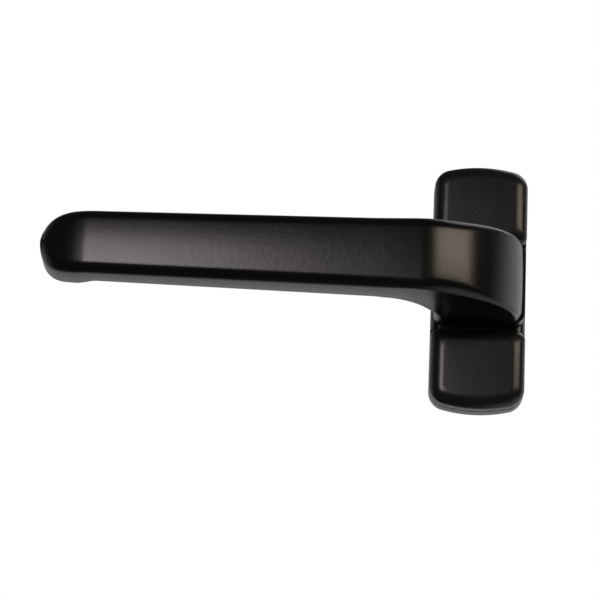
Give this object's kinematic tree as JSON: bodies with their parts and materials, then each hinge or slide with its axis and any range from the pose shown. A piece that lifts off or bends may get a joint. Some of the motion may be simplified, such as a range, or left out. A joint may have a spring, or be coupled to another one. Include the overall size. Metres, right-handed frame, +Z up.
{
  "type": "casement window handle",
  "caption": "Black lever handle for a casement window: L-shaped lever turning on an upright backplate with two push-fit screw caps.",
  "frame": {"origin": "spindle axis in the mounting plane, where the gasket meets the sash", "axes": "+X to the right with the lever pointing along -X, +Z up along the backplate, -Y out of the sash towards the user"},
  "size_m": [0.1514, 0.077, 0.08],
  "materials": {
    "black_paint": "satin",
    "black_plastic": "satin",
    "rubber": "matte",
    "zinc_steel": "satin",
    "spring_steel": "satin",
    "nylon": "matte"
  },
  "bodies": {
    "backplate": {"housing": "black_paint", "cap_upper": "black_plastic", "cap_lower": "black_plastic", "gasket": "rubber", "fixing_screws": "zinc_steel", "screw_washers": "zinc_steel", "locating_lugs": "nylon", "bush": "nylon", "glide_ring": "nylon", "detent_cage": "nylon", "detent_springs": "spring_steel", "stop_plate": "zinc_steel", "rear_cover": "zinc_steel", "cover_screws": "zinc_steel"},
    "lever_group": {"lever": "black_paint", "drive_sleeve": "zinc_steel", "grub_screw": "zinc_steel", "spindle": "zinc_steel", "spindle_clip": "spring_steel", "thrust_washer": "zinc_steel", "disc_spring": "spring_steel", "index_cam": "zinc_steel", "stop_washer": "zinc_steel", "circlip": "spring_steel"}
  },
  "joints": [
    {"name": "lever_turn", "type": "hinge", "parent": "backplate", "child": "lever_group", "pos_m": [0, 0, 0], "axis": [0, -1, 0], "range_deg": [0, 90], "deforming": ["detent_springs"]}
  ]
}
